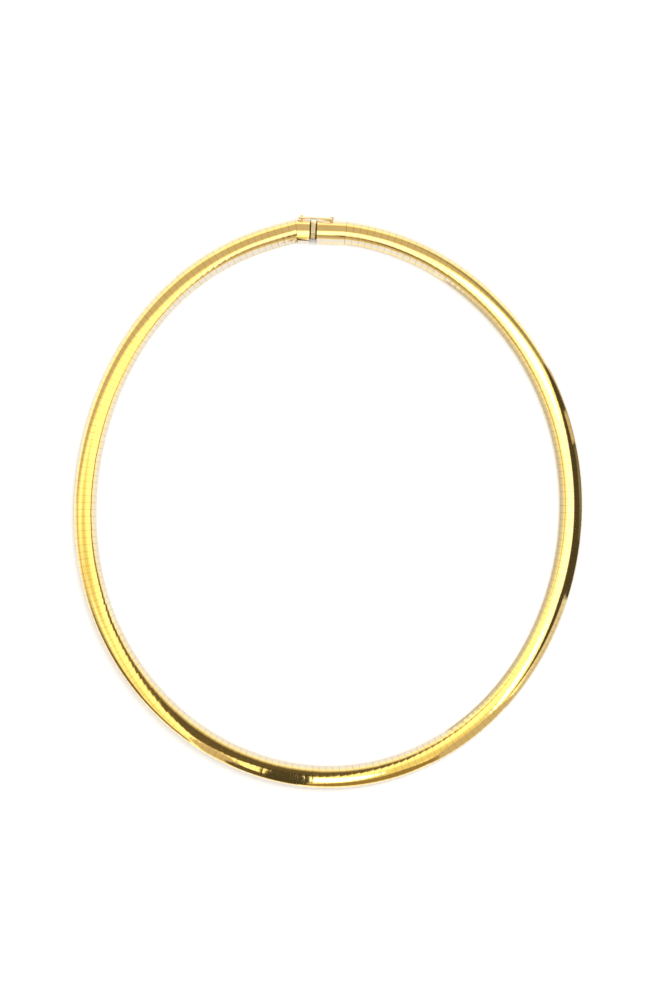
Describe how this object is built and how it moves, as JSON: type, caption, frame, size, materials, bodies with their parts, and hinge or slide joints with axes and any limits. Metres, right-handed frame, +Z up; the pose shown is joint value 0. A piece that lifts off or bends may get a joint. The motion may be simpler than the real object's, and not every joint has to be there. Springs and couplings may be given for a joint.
{
  "type": "omega necklace",
  "caption": "Closed oval collar of narrow domed metal plates on a woven ribbon, with a hollow box clasp, a sprung tongue with thumb press, and a hinged figure-eight safety catch.",
  "frame": {"origin": "centre of the necklace's outline, on the ground that it lies on", "axes": "+Z up; +Y towards the clasp; +X to the right, where the box of the clasp lies"},
  "size_m": [0.1356, 0.153, 0.003],
  "materials": {
    "plate_gold": "mirror-polished yellow gold",
    "clasp_gold": "mirror-polished yellow gold",
    "wire_gold": "polished yellow gold wire",
    "woven_gold": "fine woven yellow gold wire"
  },
  "bodies": {
    "necklace": {"chain_plates": "plate_gold", "mesh_core": "woven_gold", "clasp_box": "clasp_gold", "tongue_end": "clasp_gold"},
    "press": {"thumb_press": "plate_gold"},
    "catch": {"safety_catch": "wire_gold"}
  },
  "joints": [
    {"name": "press_tongue", "type": "hinge", "parent": "necklace", "child": "press", "pos_m": [0.00297, 0.07176, 0.001], "axis": [-0.0454, -0.999, 0], "range_deg": [0, 4.3], "stiffness_Nm_per_rad": 0.2},
    {"name": "swing_catch", "type": "hinge", "parent": "necklace", "child": "catch", "pos_m": [0.00104, 0.07529, 0.00131], "axis": [0, 0, -1], "range_deg": [0, 120]}
  ]
}
